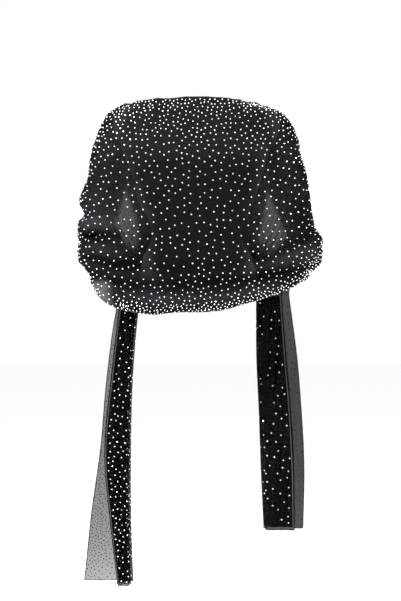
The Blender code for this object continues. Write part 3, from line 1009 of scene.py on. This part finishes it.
def near_stones(boxes, box):
    """The stones in a box and in those round it."""
    for step in itertools.product((-1, 0, 1), repeat=3):
        yield from boxes.get(tuple(place + way for place, way in zip(box, step)), ())


def is_clear(gap, space):
    """Whether two stones are at least this space apart."""
    return gap @ gap >= space * space


def on_other_layer(row, column, other_column):
    """Whether two places are on different layers. The wrap lies in one layer."""
    on_wrap = CLOTH.left_seam < row < CLOTH.right_seam
    return not on_wrap and abs(other_column - column) > LAYER_CELLS


def add_stones(name, places, facing, seed):
    """Flat-backed cut stones as one mesh: a foiled back, eight crown facets and a flat table."""
    stones = bpy.context.scene.stole_stones
    sizes = bpy.context.scene.stole_cloth
    random = np.random.default_rng(seed)
    count = len(places)
    helper = np.where(np.abs(facing[:, 2:3]) < 0.9, [[0.0, 0.0, 1.0]], [[1.0, 0.0, 0.0]])
    first = np.cross(facing, helper)
    first /= np.linalg.norm(first, axis=1)[:, None]
    second = np.cross(facing, first)
    spin = random.random(count) * math.pi / 4
    radius = stones.diameter / 2 * (0.92 + 0.16 * random.random(count))
    turns = spin[:, None] + 2 * math.pi * np.arange(STONE_SIDES)[None, :] / STONE_SIDES
    ring = np.cos(turns)[:, :, None] * first[:, None, :] + np.sin(turns)[:, :, None] * second[:, None, :]
    base = places + facing * (sizes.wall / 2 + GLUE_GAP)
    girdle = base[:, None, :] + ring * radius[:, None, None]
    top = base + facing * stones.height
    table = top[:, None, :] + ring * (radius * stones.table)[:, None, None]
    vertices = np.concatenate([girdle, table], axis=1).reshape(-1, 3)
    corner = np.arange(STONE_SIDES)
    after = (corner + 1) % STONE_SIDES
    crown = np.stack([corner, after, after + STONE_SIDES, corner + STONE_SIDES], axis=-1)
    starts = np.arange(count) * 2 * STONE_SIDES
    crowns = (starts[:, None, None] + crown[None]).reshape(-1, 4)
    tables = starts[:, None] + STONE_SIDES + corner[None]
    backs = starts[:, None] + corner[None, ::-1]
    faces = crowns.tolist() + tables.tolist() + backs.tolist()
    finishes = [
        shared_material("foiled_crystal", crystal_material, stones),
        shared_material("stone_back", foil_material, stones),
    ]
    piece = new_piece(name, vertices, faces, finishes, [], smooth=False)
    mesh = piece.data
    slots = np.zeros(len(faces), dtype=np.int32)
    slots[-count:] = 1
    mesh.polygons.foreach_set("material_index", slots)
    # Painted glint: each crown facet gets a random brightness, each table and back a brighter one; the
    # backs' foil finish does not read it.
    facets = np.concatenate([random.random(count * STONE_SIDES), 0.5 + 0.5 * random.random(2 * count)])
    layer = mesh.attributes.new("painted_facet_glint", "FLOAT", "FACE")
    layer.data.foreach_set("value", facets.astype(np.float32))
    return piece


# ---------------------------------------------------------------- operators


class STOLE_OT_add_cloth(bpy.types.Operator):
    """Add the chiffon: the back with both arm wraps, and the two falls"""

    bl_idname = "stole.add_cloth"
    bl_label = "Add Cloth"

    def execute(self, context):
        seams = (0, CLOTH.left_seam, CLOTH.right_seam, len(CLOTH.points) - 1)
        add_shell("left_fall_cloth", seams[0], seams[1], ["left_fall"])
        add_shell("back_cloth", seams[1], seams[2], ["back_panel", "left_arm_wrap", "right_arm_wrap"])
        add_shell("right_fall_cloth", seams[2], seams[3], ["right_fall"])
        return {"FINISHED"}


class STOLE_OT_add_hems(bpy.types.Operator):
    """Add the rolled hems along the four edges"""

    bl_idname = "stole.add_hems"
    bl_label = "Add Hems"

    def execute(self, context):
        edges = (
            ("upper_rolled_hem", (slice(None), 0), "upper_hem"),
            ("lower_rolled_hem", (slice(None), -1), "lower_hem"),
            ("left_end_rolled_hem", (0, slice(None)), "left_end_hem"),
            ("right_end_rolled_hem", (-1, slice(None)), "right_end_hem"),
        )
        for name, place, node in edges:
            add_tube(name, CLOTH.points[place], CLOTH.facing[place], [node])
        return {"FINISHED"}


class STOLE_OT_add_stones(bpy.types.Operator):
    """Scatter the rhinestones over the face of the cloth"""

    bl_idname = "stole.add_stones"
    bl_label = "Add Stones"

    def execute(self, context):
        seed = context.scene.stole_stones.seed
        places, facing, rows = scatter_stones(seed)
        middle = CLOTH.wrap_start + WRAP_ROWS // 2
        groups = (
            ("left_fall_stones", rows < CLOTH.left_seam),
            ("left_back_stones", (rows >= CLOTH.left_seam) & (rows < middle)),
            ("right_back_stones", (rows >= middle) & (rows < CLOTH.right_seam)),
            ("right_fall_stones", rows >= CLOTH.right_seam),
        )
        for step, (name, chosen) in enumerate(groups):
            if not chosen.any():
                raise RuntimeError(f"no stones for {name}")
            add_stones(name, places[chosen], facing[chosen], seed + step)
        return {"FINISHED"}


class STOLE_OT_declare_cloth(bpy.types.Operator):
    """A step that does nothing: the cut of each stretch of cloth and what is fixed to it are not stated"""

    bl_idname = "stole.declare_cloth"
    bl_label = "Declare Cloth"

    def execute(self, context):
        return {"FINISHED"}


class STOLE_OT_add_studio(bpy.types.Operator):
    """Add the pale floor, the soft lights and the camera"""

    bl_idname = "stole.add_studio"
    bl_label = "Add Studio"

    def execute(self, context):
        studio = context.scene.stole_studio
        low, high = (np.array(corner) for corner in cad_box)
        mesh = bpy.data.meshes.new("floor")
        drop = -studio.floor_drop
        corners = [(x * FLOOR_HALF, y * FLOOR_HALF, drop) for x, y in ((-1, -1), (1, -1), (1, 1), (-1, 1))]
        mesh.from_pydata(corners, [], [(0, 1, 2, 3)])
        material, _, shader = new_material("pale_floor")
        shader.inputs["Base Color"].default_value = (*studio.floor_colour, 1.0)
        shader.inputs["Roughness"].default_value = 0.8
        mesh.materials.append(material)
        floor = bpy.data.objects.new("floor", mesh)
        context.scene.collection.objects.link(floor)

        world = bpy.data.worlds.new("studio")
        context.scene.world = world
        world.use_nodes = True
        background = world.node_tree.nodes["Background"]
        background.inputs["Color"].default_value = (1.0, 1.0, 1.0, 1.0)
        background.inputs["Strength"].default_value = 1.0
        middle = (low + high) / 2
        for name, place, size, watts in STUDIO_LIGHTS:
            light = bpy.data.lights.new(name, "AREA")
            light.size = size
            light.energy = watts
            lamp = bpy.data.objects.new(name, light)
            lamp.location = place
            aim(lamp, middle)
            context.scene.collection.objects.link(lamp)

        data = bpy.data.cameras.new("camera")
        camera = bpy.data.objects.new("camera", data)
        context.scene.collection.objects.link(camera)
        target = np.array(VIEW_TARGET)
        camera.location = target - np.array([0.0, studio.camera_reach, 0.0])
        aim(camera, target)
        data.lens = data.sensor_width * studio.camera_reach / studio.view_height
        context.scene.camera = camera
        context.scene.view_settings.view_transform = "Standard"
        return {"FINISHED"}


def aim(thing, target):
    """Turn a light or a camera to face a point."""
    way = Vector(target) - thing.location
    thing.rotation_euler = way.to_track_quat("-Z", "Y").to_euler()


class STOLE_PT_panel(bpy.types.Panel):
    """The stole's sizes, and a button for each step"""

    bl_label = "Evening Stole"
    bl_idname = "STOLE_PT_panel"
    bl_space_type = "VIEW_3D"
    bl_region_type = "UI"
    bl_category = "Stole"

    def draw(self, context):
        layout = self.layout
        for group in (
            context.scene.stole_cloth,
            context.scene.stole_stones,
            context.scene.stole_studio,
        ):
            box = layout.box()
            for name in group.__annotations__:
                box.prop(group, name)
        for step in STEPS:
            layout.operator(step.bl_idname)


STEPS = (
    STOLE_OT_add_cloth,
    STOLE_OT_add_hems,
    STOLE_OT_add_stones,
    STOLE_OT_declare_cloth,
    STOLE_OT_add_studio,
)
CLASSES = (StoleCloth, StoleStones, StoleStudio, *STEPS, STOLE_PT_panel)


def register():
    """Register the classes and the settings."""
    for each in CLASSES:
        bpy.utils.register_class(each)
    bpy.types.Scene.stole_cloth = PointerProperty(type=StoleCloth)
    bpy.types.Scene.stole_stones = PointerProperty(type=StoleStones)
    bpy.types.Scene.stole_studio = PointerProperty(type=StoleStudio)


def unregister():
    """Remove the settings and the classes."""
    del bpy.types.Scene.stole_studio
    del bpy.types.Scene.stole_stones
    del bpy.types.Scene.stole_cloth
    for each in reversed(CLASSES):
        bpy.utils.unregister_class(each)


def main():
    """Build the stole and its studio."""
    register()
    bpy.ops.stole.add_cloth()
    bpy.ops.stole.add_hems()
    bpy.ops.stole.add_stones()
    bpy.ops.stole.declare_cloth()
    bpy.ops.stole.add_studio()


if __name__ == "__main__":
    main()
